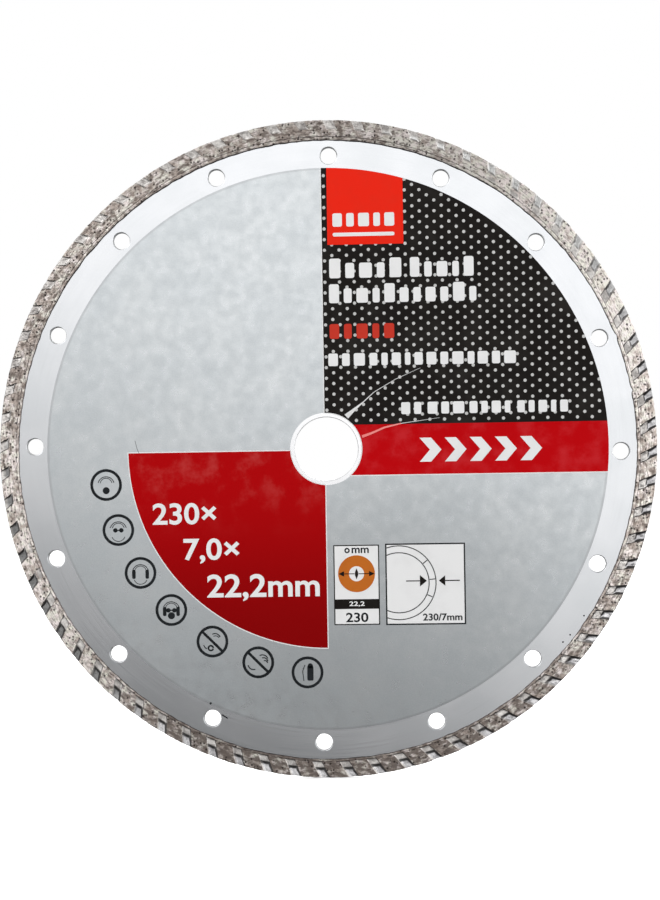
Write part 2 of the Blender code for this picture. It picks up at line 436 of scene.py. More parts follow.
def ground_steel():
    """Bare sheet steel, finely ground, with faint marks that run round the axis. The walls of its
    openings are dull, as the laser left them."""
    material, tree, shader = new_material("ground_steel")
    vector = node(tree, "TexCoord", "Object")
    radius = radius_of(vector)
    marks = streaks(vector, across=5000.0, along=5.0)
    patches = cloud(vector, 45.0, detail=4.0)
    plain = blend(spread(patches, 0.3, 0.7), (0.635, 0.65, 0.668), (0.69, 0.70, 0.718))
    marked = blend(spread(marks, 0.25, 0.45, 0.14, 0.0), plain, (0.42, 0.43, 0.45))
    near_bore = spread(radius, PRINT_INNER_RADIUS, PRINT_INNER_RADIUS + 2.0 * MM, 0.9, 0.0)
    face = blend(near_bore, marked, (0.86, 0.86, 0.87))
    in_relief_hole = spread(radius, 30.0 * MM, 60.0 * MM)
    wall = blend(in_relief_hole, (0.70, 0.70, 0.71), (0.34, 0.345, 0.35))
    polished = spread(flatness(tree), 0.3, 0.9)
    feed(shader, "Base Color", blend(polished, wall, face))
    feed(shader, "Metallic", polished)
    feed(shader, "Specular IOR Level", polished * 0.5)
    feed(shader, "Roughness", spread(marks, 0.2, 0.8, 0.20, 0.26))
    add_bump(shader, marks, 0.0015 * MM)
    return material


def grit_specks(vector):
    """Dark pits where grit has broken out, in about a third of the cells of a cell pattern."""
    distance = node(vector.tree, "TexVoronoi", "Distance", {"Vector": vector, "Scale": 900.0})
    chosen = maths("GREATER_THAN", component(distance.other_output("Color"), "X"), 0.62)
    return spread(distance, 0.20, 0.45, 1.0, 0.0) * chosen


def pad_colour(vector, patches, smears, speck):
    """The ground pads: pale bronze, smeared and scratched along the cut, with dark specks. Painted
    highlight lightens them to the right and lower left, and painted shade darkens them at the bottom."""
    # Painted highlight: the pads are paler round a place to the upper right and one to the lower left.
    pad_highlight = around(vector, PAINTED_LIGHT_UPPER_RIGHT, 25.0, 95.0, 0.13) + around(
        vector, PAINTED_LIGHT_LOWER_LEFT, 30.0, 75.0, 0.055
    )
    # Painted shade: the pads are darker towards the bottom, where less light falls.
    shade_at_bottom = spread(component(vector, "Z"), -108.0 * MM, -72.0 * MM, 0.10, 0.0)
    hue = spread(cloud(vector, 520.0), 0.4, 0.6)
    pale = blend(hue, (0.80, 0.775, 0.70), (0.83, 0.755, 0.73))
    warm = blend(spread(patches + pad_highlight, 0.38, 0.62), (0.44, 0.375, 0.335), pale)
    # Real dirt in smears, spread further by the painted shade and held back by the painted highlight.
    dirt_and_shade = spread(smears + pad_highlight - shade_at_bottom, 0.36, 0.54, 0.9, 0.0)
    smeared = blend(dirt_and_shade, warm, (0.19, 0.155, 0.135))
    scratches = streaks(vector, across=2600.0, along=65.0, detail=4.0)
    worn = blend(spread(scratches, 0.36, 0.52, 0.6, 0.0), smeared, (0.14, 0.115, 0.105))
    # Painted highlight: the pads are brighter to the right and to the lower left.
    bright_right = around(vector, PAD_HIGHLIGHT_SPOT, 30.0, 115.0, 1.26, 1.0)
    bright_left = around(vector, PAINTED_LIGHT_LOWER_LEFT, 30.0, 80.0, 1.16, 1.0)
    shining = scaled(worn, maths("MAXIMUM", bright_right, bright_left))
    return blend(speck * 0.85, shining, (0.045, 0.036, 0.034))


def groove_colour(patches, pad, groove_highlight):
    """The grooves' floors: grey where deep, and warmer where shallow. A painted highlight turns the
    deep floors near white round the top.
    """
    uneven = spread(patches, 0.35, 0.65)
    dull_floor = blend(uneven, (0.43, 0.42, 0.43), (0.72, 0.71, 0.72))
    # Painted highlight: the deep floors are near white round the top.
    deep = blend(groove_highlight, dull_floor, (0.92, 0.92, 0.91))
    shallow = blend(uneven, (0.40, 0.375, 0.36), (0.76, 0.73, 0.70))
    return blend(spread(pad, 0.05, 0.3), deep, shallow)


def floor_painted_shadow(vector, pad):
    """How dark the painted shadow on the grooves' floors is: most round a place to the lower left,
    and less round one to the upper right.
    """
    left = around(vector, PAINTED_LIGHT_LOWER_LEFT, 30.0, 72.0, 0.8)
    right = around(vector, PAINTED_LIGHT_UPPER_RIGHT, 25.0, 70.0, 0.4)
    return maths("MAXIMUM", left, right) * spread(pad, 0.1, 0.5, 1.0, 0.0)


def wall_painted_shadow(vector, pad, steep, groove_highlight, low_side):
    """How much painted shadow darkens the grooves' walls: less on the walls low on the blade that face
    one way round the axis, which are lit, and less where the grooves have a painted highlight.
    """
    round_axis = vector_maths("NORMALIZE", 0, along_the_circle(vector))
    normal = node(vector.tree, "TexCoord", "Normal")
    turned = vector_maths("DOT_PRODUCT", "Value", normal, round_axis)
    lit_low_wall = spread(turned, -0.3, -0.1, 0.85, 0.0) * low_side
    shaded_wall = maths("MAXIMUM", lit_low_wall, groove_highlight * 0.7) * -1.0 + 1.0
    return steep * shaded_wall * spread(pad, 0.97, 1.0, 1.0, 0.25)


def joint_flux_and_shade(radius, height, patches, steep):
    """How dark the plain ring's foot is: a dark line of flux along its uneven edge, which also stands
    for painted shade and so is lighter at the bottom, where the foot faces up, and painted shade on
    its steep walls.
    """
    edge = JOINT_RADIUS + 0.6 * MM
    near_joint = spread(radius + patches * (0.4 * MM), edge - 0.05 * MM, edge + 0.2 * MM, 1.0, 0.0)
    # Painted shade: the foot is darker above the middle, and less so at the bottom, where it faces up.
    above_middle = spread(height, -85.0 * MM, -35.0 * MM, 0.75, 0.97)
    # Painted shade also on steep walls.
    return maths("MAXIMUM", near_joint * above_middle, steep * 0.85)


def sintered_metal(name, at_joint=False):
    """Bronze and diamond grit, pressed and baked, ground on its pads. The mesh's "pad" attribute is 1
    on a ground pad and 0 in a groove. Painted shadow darkens the grooves' walls, floors and ledges,
    and painted highlight lightens some floors and pads. At the joint with the steel the metal is dark
    with flux and with painted shade."""
    material, tree, shader = new_material(
        name, metallic=0.9, Anisotropic=0.8, Anisotropic_Rotation=0.25, Specular_IOR_Level=0.3
    )
    vector = node(tree, "TexCoord", "Object")
    radius = radius_of(vector)
    height = component(vector, "Z")
    pad = node(tree, "Attribute", "Fac", attribute_name="pad")
    smears = streaks(vector, across=760.0, along=42.0, detail=4.0)
    grain = cloud(vector, 2600.0, detail=3.0, roughness=0.65)
    patches = cloud(vector, 420.0, detail=4.0, roughness=0.6)
    speck = grit_specks(vector)
    # Painted highlight on the grooves round the top.
    groove_highlight = around(vector, GROOVE_HIGHLIGHT_SPOT, 50.0, 130.0)
    low_side = spread(height, -88.0 * MM, -50.0 * MM, 1.0, 0.0)
    steep = spread(flatness(tree), 0.82, 0.965, 0.9, 0.0)

    ground = pad_colour(vector, patches, smears, speck)
    groove = groove_colour(patches, pad, groove_highlight)
    surface = blend(spread(pad, 0.86, 0.99), groove, ground)
    # Painted shadow on the grooves' floors.
    floor_shaded = blend(floor_painted_shadow(vector, pad), surface, (0.12, 0.12, 0.115))
    # Painted shadow at the grooves' ledges low on the blade, where the ledges face down, away from the
    # light.
    at_ledge = spread(abs(radius - LEDGE_RADIUS), 0.35 * MM, 0.75 * MM, 0.85, 0.0)
    in_low_groove = spread(pad, 0.80, 0.95, 1.0, 0.0) * low_side
    # Painted shadow on the grooves' walls.
    wall_shadow = wall_painted_shadow(vector, pad, steep, groove_highlight, low_side)
    groove_shadow = maths("MAXIMUM", wall_shadow, at_ledge * in_low_groove)
    # Painted shadow: walls and ledges are darkened to near black.
    colour = blend(groove_shadow, floor_shaded, (0.030, 0.027, 0.027))
    if at_joint:
        colour = blend(joint_flux_and_shade(radius, height, patches, steep), colour, (0.05, 0.042, 0.045))
    feed(shader, "Base Color", colour)

    rough_pad = spread(grain, 0.3, 0.7, 0.36, 0.54) + speck * 0.2
    smooth_floor = spread(grain, 0.3, 0.7, 0.26, 0.36)
    feed(shader, "Roughness", blend_numbers(pad, smooth_floor, rough_pad))
    add_bump(shader, grain, 0.04 * MM)
    add_bump(shader, smears, 0.12 * MM)
    add_bump(shader, speck, -0.08 * MM)
    feed(shader, "Tangent", along_the_circle(vector))
    return material


def silver_lacquer():
    """Silver lacquer, a little cloudy, with a thicker and darker bead round its outer edge, which also
    stands for painted shade at the coat's edge. Painted shade darkens it round a spot low on the face.
    """
    material, tree, shader = new_material("silver_lacquer", metallic=1.0)
    vector = node(tree, "TexCoord", "Object")
    broad = cloud(vector, 55.0, detail=3.0)
    mottle = cloud(vector, 260.0, detail=4.0, roughness=0.6)
    flake = cloud(vector, 2300.0)
    cool = blend(spread(broad, 0.3, 0.7), (0.455, 0.48, 0.495), (0.50, 0.52, 0.53))
    cloudy = blend(spread(mottle, 0.3, 0.7, 0.0, 0.5), cool, (0.41, 0.44, 0.455))
    flaked = blend(spread(flake, 0.35, 0.7, 0.0, 0.25), cloudy, (0.60, 0.61, 0.62))
    # Partly painted shade: the darker bead round the outer edge also stands for shade at the coat's
    # edge.
    wandering = radius_of(vector) + cloud(vector, 300.0) * (0.5 * MM)
    bead_start = PRINT_OUTER_RADIUS - 0.75 * MM
    bead = spread(wandering, bead_start, bead_start + 0.5 * MM, 0.0, 0.6)
    beaded = blend(bead, flaked, (0.36, 0.37, 0.38))
    # Painted shade: the lacquer is darker round one spot low on the face, where less light falls.
    lacquer_shade = around(vector, LACQUER_SHADE_SPOT, 20.0, 95.0, 0.97, 1.20)
    feed(shader, "Base Color", scaled(beaded, lacquer_shade))
    feed(shader, "Roughness", spread(mottle, 0.3, 0.7, 0.27, 0.34))
    add_bump(shader, mottle, 0.01 * MM)
    add_bump(shader, flake, 0.004 * MM)
    return material


def ink(name, colour, second, scale=120.0, gloss=INK_GLOSS):
    """Screen-printed ink, with patches of a second shade where it lies thinner."""
    material, tree, shader = new_material(name, Specular_IOR_Level=gloss)
    vector = node(tree, "TexCoord", "Object")
    patches = cloud(vector, scale, detail=5.0, roughness=0.6)
    grain = cloud(vector, INK_GRAIN)
    feed(shader, "Base Color", blend(spread(patches, 0.42, 0.75, 0.0, 0.6), colour, second))
    feed(shader, "Roughness", spread(grain, 0.3, 0.7, *INK_ROUGHNESS))
    add_bump(shader, grain, INK_GRAIN_DEPTH)
    return material


def dark_red_ink():
    """Dark red ink, rubbed paler along its top and beside the bore, and darkened towards the bottom by
    painted shade.
    """
    material, tree, shader = new_material("dark_red_ink", Specular_IOR_Level=INK_GLOSS / 2)
    vector = node(tree, "TexCoord", "Object")
    height = component(vector, "Z")
    patches = cloud(vector, 95.0, detail=6.0, roughness=0.62)
    rubbed = spread(patches, 0.45, 0.72) * spread(height, -34.0 * MM, -2.0 * MM)
    # Painted shade: the red is darker towards the bottom, where less light falls.
    from_bottom = spread(height, -68.0 * MM, -6.0 * MM)
    shade = blend(from_bottom, (0.255, 0.0003, 0.001), (0.455, 0.0005, 0.002))
    feed(shader, "Base Color", blend(rubbed * 0.45, shade, (0.60, 0.085, 0.08)))
    feed(shader, "Roughness", spread(patches, 0.3, 0.7, 0.32, 0.45))
    add_bump(shader, cloud(vector, INK_GRAIN), INK_GRAIN_DEPTH)
    return material


def all_inks():
    """Every ink by name, each as its material and its slot."""
    by_slot = {
        "silver_lacquer": {
            "silver": silver_lacquer(),
            "scratch": ink("scratch_metal", (0.80, 0.80, 0.80), (0.55, 0.55, 0.55)),
            "pink_scratch": ink("scratch_in_red", (0.92, 0.30, 0.28), (0.88, 0.17, 0.16)),
        },
        "white_ink": {
            "white": ink("white_ink", (0.88, 0.88, 0.88), (0.80, 0.80, 0.80)),
            "dot": ink("dot_ink", (0.62, 0.62, 0.61), (0.42, 0.42, 0.41), scale=60.0),
        },
        "black_ink": {
            "black": ink("black_ink", (0.009, 0.007, 0.006), (0.030, 0.027, 0.024), scale=70.0),
            "line": ink("line_ink", (0.012, 0.014, 0.016), (0.024, 0.028, 0.032)),
        },
        "bright_red_ink": {
            "bright_red": ink("bright_red_ink", (0.90, 0.018, 0.004), (0.82, 0.024, 0.008)),
            "soft_red": ink("soft_red_ink", (0.60, 0.040, 0.022), (0.50, 0.035, 0.022)),
            "orange": ink("orange_ink", (0.57, 0.155, 0.018), (0.50, 0.13, 0.018)),
        },
        "red_ink": {
            "red": ink("red_ink", (0.54, 0.0005, 0.003), (0.62, 0.032, 0.040), gloss=INK_GLOSS / 2),
        },
        "dark_red_ink": {"dark_red": dark_red_ink()},
    }
    return {name: (made, slot) for slot, inks in by_slot.items() for name, made in inks.items()}


INKS = all_inks()


# ---------------- steel plate

RELIEF_HOLES = 16
RELIEF_HOLE_RADIUS = 2.98 * MM
RELIEF_TAPER = 0.18 * MM  # a relief hole is this much narrower in radius at the back
RELIEF_CIRCLE_RADIUS = 102.6 * MM
RELIEF_START = -1.3
RELIEF_EASE = 0.2 * MM
EDGE_EASE = 0.12 * MM
STEEL_TUCK = 0.7 * MM  # how far the plate runs on, out of sight, under the sintered ring


def add_wall(bm, points, centre, steps):
    """The wall of a round opening or edge. steps are (change of radius, y); returns its two ends."""
    loops = []
    for change, y in steps:
        loop = []
        for x, z in points:
            away = Vector((x - centre[0], z - centre[1])).normalized() * change
            loop.append(bm.verts.new((x + away.x, y, z + away.y)))
        loops.append(loop)
    for loop, following in zip(loops, loops[1:]):
        for index in range(len(loop)):
            nearby = (index + 1) % len(loop)
            bm.faces.new((loop[index], loop[nearby], following[nearby], following[index]))
    return loops[0], loops[-1]


def mirrored(section):
    """The back half of a section, in reverse, from the points (change of radius, y) of its front."""
    return [(out, -y) for out, y in reversed(section)]


def eased_edge(ease, outwards):
    """Steps from one face of the plate to the other, with both corners eased by a quarter round."""
    front = []
    for turn in (0.0, 30.0, 60.0, 90.0):
        aside, inwards = 1 - math.sin(math.radians(turn)), 1 - math.cos(math.radians(turn))
        front.append((outwards * ease * aside, -STEEL_FACE + ease * inwards))
    return front + mirrored(front)


def steel_plate(steel):
    """The sheet steel plate, with its bore and its ring of relief holes."""
    bm = bmesh.new()
    middle = (0.0, 0.0)
    chamfer = [(BORE_CHAMFER, -STEEL_FACE), (0.0, -STEEL_FACE + BORE_CHAMFER)]
    hole_edge = [
        (change - RELIEF_TAPER * (y + STEEL_FACE) / (2 * STEEL_FACE), y)
        for change, y in eased_edge(RELIEF_EASE, 1)
    ]
    edges = [(circle(BORE_RADIUS, sides=128), middle, chamfer + mirrored(chamfer))]
    for index in range(RELIEF_HOLES):
        centre = at_angle(RELIEF_CIRCLE_RADIUS, RELIEF_START + 360.0 * index / RELIEF_HOLES)
        edges.append((circle(RELIEF_HOLE_RADIUS, centre, 40), centre, hole_edge))
    outline = circle(STEEL_EDGE_RADIUS + STEEL_TUCK, sides=256)
    edges.append((outline, middle, eased_edge(EDGE_EASE, -1)))
    for loops in zip(*[add_wall(bm, *edge) for edge in edges]):
        rims = [edge for loop in loops for edge in sharpened(bm, loop)]
        bmesh.ops.triangle_fill(bm, edges=rims, use_beauty=True)
    bmesh.ops.recalc_face_normals(bm, faces=bm.faces)
    mesh = finished_mesh("steel_plate", bm)
    mesh.shade_smooth()
    add_piece("steel_plate", mesh, steel, "bare_steel", "steel_core")


# ---------------- rim

GROOVES = 72
GROOVE_PITCH = 360.0 / GROOVES
GROOVE_START = -1.85  # where a groove of the printed face crosses the middle radius
GROOVE_LEAN = math.tan(math.radians(28.0))
GROOVE_MID_RADIUS = 112.0 * MM
GROOVE_HALF_TURN = 0.95  # half a groove's width, in degrees round the axis
WALL_SLOPE = 1.45 * MM  # how much deeper the groove's wall gets in each degree
LEDGE_RADIUS = 111.9 * MM  # a groove's shallow inner end drops to its deep outer end here
LEDGE_HALF_WIDTH = 0.65 * MM
WINDOW_DEPTH = 0.92 * MM
WINDOW_RISE = 0.10  # the deep end's floor rises again towards the edge
RAMP_DEPTH = 0.14 * MM
RAMP_RISE = 0.11  # the shallow end is scooped, and rises towards the ledge
RAMP_END_RADIUS = 109.0 * MM
RAMP_END_LENGTH = 0.7 * MM
RIM_INNER_RADIUS = 109.2 * MM
RIM_ARCS = 12
GROUND_MIDDLE = 128.0  # the direction in which the pads were ground down the most
GROUND_DEPTH = 0.44 * MM


def lean(radius):
    """How far a groove has turned, in degrees, where it crosses this radius."""
    return math.degrees(GROOVE_LEAN * math.log(radius / GROOVE_MID_RADIUS))


def soft_step(value, low, high):
    share = min(1.0, max(0.0, (value - low) / (high - low)))
    return share * share * (3.0 - 2.0 * share)


def groove_depth(turn, radius, angle):
    """Depth below the pads, turn degrees from a groove's middle line. A groove is shallow at its
    rounded inner end, and drops over a ledge to its deep outer end."""
    wall = (GROOVE_HALF_TURN - abs(turn)) * WALL_SLOPE
    if wall <= 0.0:
        return 0.0
    ramp = RAMP_DEPTH + RAMP_RISE * (LEDGE_RADIUS - radius)
    ramp *= soft_step(radius, RAMP_END_RADIUS, RAMP_END_RADIUS + RAMP_END_LENGTH)
    window = WINDOW_DEPTH - WINDOW_RISE * (radius - LEDGE_RADIUS)
    over_ledge = soft_step(radius, LEDGE_RADIUS - LEDGE_HALF_WIDTH, LEDGE_RADIUS + LEDGE_HALF_WIDTH)
    floor = ramp + (window - ramp) * over_ledge
    facing = math.cos(math.radians(angle - GROUND_MIDDLE))
    ground = GROUND_DEPTH * min(1.0, max(0.0, 1.4 * facing))
    return max(0.0, min(wall, floor - ground))


def rim_turns():
    """The turns at which one pitch of the rim is drawn, close together at the grooves' walls."""
    quarter = [0.0, 0.2, 0.36, 0.46, 0.58, 0.7, 0.82, GROOVE_HALF_TURN, 1.05]
    half = quarter + [GROOVE_PITCH / 2 - turn for turn in reversed(quarter[1:])]
    return half + [turn + GROOVE_PITCH / 2 for turn in half]


def rim_section():
    """The rim's closed section as (radius, y), from the printed side round the edge to the back."""
    face_rows = 20
    corner = 0.18 * MM
    reach = RIM_RADIUS - corner - RIM_INNER_RADIUS
    face = [(RIM_INNER_RADIUS + reach * row / face_rows, -RIM_FACE) for row in range(face_rows + 1)]
    face += [(RIM_RADIUS - 0.3 * corner, -RIM_FACE + 0.3 * corner)]
    edge_rows = 8
    tall = 2 * (RIM_FACE - corner)
    edge = [(RIM_RADIUS, -RIM_FACE + corner + tall * row / edge_rows) for row in range(edge_rows + 1)]
    return face + edge + mirrored(face)


def turn_from_groove(turn, offset):
    """Degrees to the nearest groove's middle line, for grooves that start at offset."""
    return (turn - offset + GROOVE_PITCH / 2) % GROOVE_PITCH - GROOVE_PITCH / 2


def lumps(place, cells, height, shift=(0.0, 0.0, 0.0)):
    """Random ups and downs, with so many cells to a metre. height is in millimetres."""
    return noise.noise(place * cells + Vector(shift)) * height * MM


def rim_point(radius, y, turn):
    """A point of the rim's surface. turn counts along the grooves' lean, so a wall stays on a row."""
    angle = turn + lean(radius)
    front = groove_depth(turn_from_groove(turn, GROOVE_START), radius, angle)
    back = groove_depth(turn_from_groove(turn, GROOVE_START + GROOVE_PITCH / 2), radius, angle + 180.0)
    across = (y + RIM_FACE) / (2 * RIM_FACE)
    depth = front * (1 - across) - back * across
    x, z = at_angle(radius, angle)
    place = Vector((x, y, z))
    lump = lumps(place, 900.0, 0.06) + lumps(place, 2600.0, 0.05)
    sideways = lumps(place, 420.0, 0.13, (7.0, 0.0, 0.0))
    outwards = lumps(place, 520.0, 0.10, (0.0, 9.0, 0.0))
    chip = max(0.0, noise.noise(place * 1500.0 + Vector((3.0, 3.0, 3.0))) - 0.33) * 0.55 * MM
    out = Vector((x, 0.0, z)).normalized()
    round_it = Vector((-out.z, 0.0, out.x))
    on_face = min(1.0, max(0.0, (RIM_RADIUS - radius) / (0.3 * MM)))
    inwards = math.copysign(1.0, y) if abs(y) > 1e-6 else 0.0
    place.y += depth - inwards * (lump + chip) * on_face
    place += round_it * sideways
    place += out * (outwards - abs(outwards) - (lump + chip + 0.05 * MM)) * (1 - on_face)
    return place


def is_wall_top(turn):
    """Whether a groove of either side starts at this turn."""
    offsets = (GROOVE_START, GROOVE_START + GROOVE_PITCH / 2)
    return any(abs(abs(turn_from_groove(turn, offset)) - GROOVE_HALF_TURN) < 0.01 for offset in offsets)


def pad_share(turn, radius, y):
    """1 on a ground pad, falling to 0 in the deep end of a groove."""
    offset = GROOVE_START if y < 0 else GROOVE_START + GROOVE_PITCH / 2
    angle = turn + lean(radius) + (0.0 if y < 0 else 180.0)
    depth = groove_depth(turn_from_groove(turn, offset), radius, angle)
    return 1.0 - soft_step(depth, 0.0, 0.6 * MM)


def add_sintered_ring(name, mesh, pad_shares, sinter, slot, node_name):
    """Adds a sintered piece. pad_shares says of each vertex how far it is part of a ground pad."""
    mesh.attributes.new("pad", "FLOAT", "POINT").data.foreach_set("value", pad_shares)
    mesh.shade_smooth()
    add_piece(name, mesh, sinter, slot, node_name)


def diamond_rim(sinter):
    """The rim, in arcs that meet in the middle of a pad, so that each can hold fine detail."""
    section = rim_section()
    quarter = GROOVE_PITCH / 4
    one_pitch = [turn - quarter for turn in rim_turns() if turn >= quarter]
    one_pitch += [turn + 3 * quarter for turn in rim_turns() if turn < quarter]
    pitches = GROOVES // RIM_ARCS
    for index in range(RIM_ARCS):
        start = GROOVE_START + index * pitches * GROOVE_PITCH + quarter
        turns = [start]
        turns += [start + GROOVE_PITCH * pitch + turn for pitch in range(pitches) for turn in one_pitch]
        turns.append(start + GROOVE_PITCH * pitches)
        name = f"rim_arc_{index + 1:02d}"
        mesh = polar_grid(name, section, turns, rim_point, [turn for turn in turns if is_wall_top(turn)])
        shares = [pad_share(turn, radius, y) for turn in turns for radius, y in section]
        add_sintered_ring(name, mesh, shares, sinter, "sintered_rim", "diamond_rim")


JOINT_RADIUS = 107.6 * MM
JOINT_LOW_SIDE = 255.0  # the joint stands furthest out on this side
NICKS = (10.1, 20.3)  # where the joint line has a deeper chip


def joint_point(radius, y, turn):
    """A point of the plain ring, whose foot on the steel wanders."""
    x, z = at_angle(radius, turn)
    place = Vector((x, y, z))
    out = Vector((x, 0.0, z)).normalized()
    near_foot = min(1.0, max(0.0, (RIM_INNER_RADIUS - radius) / (1.2 * MM)))
    wander = lumps(place, 330.0, 0.25) + lumps(place, 1400.0, 0.10)
    wander += 0.35 * MM * math.cos(math.radians(turn - JOINT_LOW_SIDE))
    nick = sum(math.exp(-(((turn - angle) / 0.3) ** 2)) for angle in NICKS) * 0.6 * MM
    place.y += math.copysign(lumps(place, 1800.0, 0.05), -y)
    return place + out * (wander + nick) * near_foot


def bond_shoulder(sinter):
    """The plain sintered ring between the steel and the grooved rim."""
    rise = [(0.4, -0.15), (0.48, 0.05), (0.58, 0.25), (0.68, 0.40), (0.82, 0.48), (1.2, 0.5), (1.8, 0.5)]
    front = [(JOINT_RADIUS + out * MM, -STEEL_FACE - up * MM) for out, up in rise]
    turns = [0.5 * index for index in range(721)]
    mesh = polar_grid("bond_shoulder", front + mirrored(front), turns, joint_point)
    all_pad = [1.0] * len(mesh.vertices)
    add_sintered_ring("bond_shoulder", mesh, all_pad, sinter, "bond_metal", "bond_ring")


# ---------------- printed face

BLACK_LEFT, BLACK_BOTTOM, _, _ = face_box("print_black_field")
BAND_BOTTOM, BAND_TOP = face_box("print_red_band")[1], face_box("print_red_band")[3]
QUARTER_LEFT, _, QUARTER_RIGHT, QUARTER_TOP = face_box("print_dark_red_quarter")
SQUARE_LEFT, SQUARE_BOTTOM, SQUARE_RIGHT, _ = face_box("print_red_square")
DIVIDE_X = (BLACK_LEFT + QUARTER_RIGHT) / 2
BAND_LINE = (BLACK_BOTTOM + BAND_TOP) / 2  # where the black field meets the band

DOT_RADIUS = 0.58 * MM
DOT_COLUMN = 2.564 * MM
DOT_ROW = 3.73 * MM
DOT_FIRST = (0.43 * MM, 91.85 * MM)


def right_field(left, bottom, top=None, inner=PRINT_INNER_RADIUS):
    """The printed ring right of left and above bottom, and below top if that is given."""
    outer = PRINT_OUTER_RADIUS
    inner_end = angle_at_z(inner, top) if top else angle_at_x(inner, left)
    outer_end = angle_at_z(outer, top) if top else angle_at_x(outer, left)
    outline = arc(inner, angle_at_z(inner, bottom), inner_end)
    return outline + arc(outer, outer_end, angle_at_z(outer, bottom))


def quarter_field(grow):
    """The quarter disc at the lower left, round the bore, let out by grow."""
    inner, outer = PRINT_INNER_RADIUS - grow, -QUARTER_LEFT + grow
    right, top = QUARTER_RIGHT + grow, QUARTER_TOP + grow
    outline = arc(outer, 180.0 - angle_at_z(outer, top), 360.0 - angle_at_x(outer, right))
    return outline + arc(inner, 360.0 - angle_at_x(inner, right), 180.0 - angle_at_z(inner, top))


def square_field():
    """The square whose top side is the edge of the print."""
    outer = PRINT_OUTER_RADIUS
    outline = [(SQUARE_LEFT, SQUARE_BOTTOM), (SQUARE_RIGHT, SQUARE_BOTTOM)]
    return outline + arc(outer, angle_at_x(outer, SQUARE_RIGHT), angle_at_x(outer, SQUARE_LEFT))


def colour_fields():
    silver = ring(PRINT_OUTER_RADIUS, PRINT_INNER_RADIUS, sides=256)
    printed_shape("lacquer_coat", silver, LACQUER, "silver", "print_silver_field")
    base_inner = PRINT_INNER_RADIUS - HALO
    base = [right_field(DIVIDE_X - HALO, BAND_BOTTOM - HALO, inner=base_inner), quarter_field(HALO)]
    printed_shape("white_base", base, WHITE_BASE, "white")
    fields = [
        ("black_field", "black", right_field(DIVIDE_X, BAND_LINE)),
        ("red_band", "red", right_field(DIVIDE_X, BAND_BOTTOM, BAND_LINE)),
        ("dark_red_quarter", "dark_red", quarter_field(0.0)),
    ]
    for name, ink_name, outline in fields:
        printed_shape(name, [outline], FIELD, ink_name, "print_" + name)
    printed_shape("red_square", [square_field()], DRAWING, "bright_red", "print_red_square")


def kept_in_black_field(x, z):
    """The point, moved onto the black field's edge if it lies outside."""
    x, z = max(x, DIVIDE_X), max(z, BAND_LINE)
    radius = math.hypot(x, z)
    held = min(max(radius, PRINT_INNER_RADIUS), PRINT_OUTER_RADIUS)
    return x * held / radius, z * held / radius


def dot_pattern():
    """Staggered dots all over the black field, cut off at its edges."""
    columns = math.ceil(PRINT_OUTER_RADIUS / DOT_COLUMN)
    dots = []
    for column in range(columns):
        x = DOT_FIRST[0] + column * DOT_COLUMN
        shift = DOT_ROW / 2 if column % 2 else 0.0
        top = DOT_FIRST[1] + shift + DOT_ROW
        for row in range(math.ceil(top / DOT_ROW)):
            z = top - row * DOT_ROW
            inside_edge = math.hypot(x, z) < PRINT_OUTER_RADIUS - DOT_RADIUS / 2
            outside_bore = math.hypot(x, z) > PRINT_INNER_RADIUS + DOT_RADIUS / 2
            if inside_edge and outside_bore and z > BAND_LINE + DOT_RADIUS / 2:
                dots.append([kept_in_black_field(*point) for point in circle(DOT_RADIUS, (x, z), 14)])
    printed_shape("black_field_dots", dots, PATTERN, "dot")


# Plain blocks that stand for letters. All but the widths are in heights of a block.
BLOCK_WIDTHS = (1.0, 0.8, 1.15, 0.7, 1.05, 0.9, 0.75)  # next to one another, so rows look uneven
BLOCK_PITCH = 0.9
BLOCK_GAP = 0.32
BLOCK_CORNER = 0.14
TALL_BLOCKS = (1.3, 1.0, 1.0, 1.0, 1.3, 1.0, 1.0, 1.0, 1.0)
EVEN_BLOCKS = (1.0,)


def blocks(spans, bottom, top, heights=EVEN_BLOCKS):
    """A row of plain blocks for each word. spans are their (left, right), all in millimetres."""
    height = top - bottom
    gap, corner = BLOCK_GAP * height, BLOCK_CORNER * height
    outlines = []
    for left, right in spans:
        count = max(2, round((right - left) / (BLOCK_PITCH * height)))
        shares = [BLOCK_WIDTHS[index % len(BLOCK_WIDTHS)] for index in range(count)]
        unit = (right - left - gap * (count - 1)) / sum(shares)
        start = left
        for index, share in enumerate(shares):
            end = start + share * unit
            block_top = bottom + height * heights[index % len(heights)]
            outlines.append(moved(rounded_bar(start, bottom, end, block_top, corner)))
            start = end + gap
    return outlines


def word_blocks():
    """Rows of plain blocks, each row as long as a word, in place of the wording."""
    white = blocks([(2.0, 27.2), (30.2, 52.4)], 59.6, 64.9, TALL_BLOCKS)
    white += blocks([(1.8, 53.2)], 50.9, 56.0, TALL_BLOCKS)
    white += blocks([(1.2, 14.0), (15.6, 34.2), (35.5, 52.2), (53.3, 66.6)], 28.9, 33.3)
    white += blocks([(26.4, 33.4), (35.6, 48.4), (50.2, 64.4), (66.8, 84.4)], 11.7, 15.9)
    printed_shape("white_word_blocks", white, DRAWING, "white")
    red = blocks([(1.8, 24.4)], 38.4, 43.6)
    printed_shape("red_word_blocks", red, DRAWING, "soft_red")


def band_chevrons():
    """Five chevrons along the band, which point the way the grooves throw the dust."""
    left, bottom, top = 32.6, -5.0, 3.4
    stroke, point, pitch = 4.0, 3.6, 8.75
    middle = (bottom + top) / 2
    chevron = [
        (0.0, bottom), (stroke, bottom), (stroke + point, middle),
        (stroke, top), (0.0, top), (point, middle),
    ]
    chevrons = [moved(chevron, ((left + pitch * index) * MM, 0.0)) for index in range(5)]
    printed_shape("band_chevrons", chevrons, DRAWING, "white")


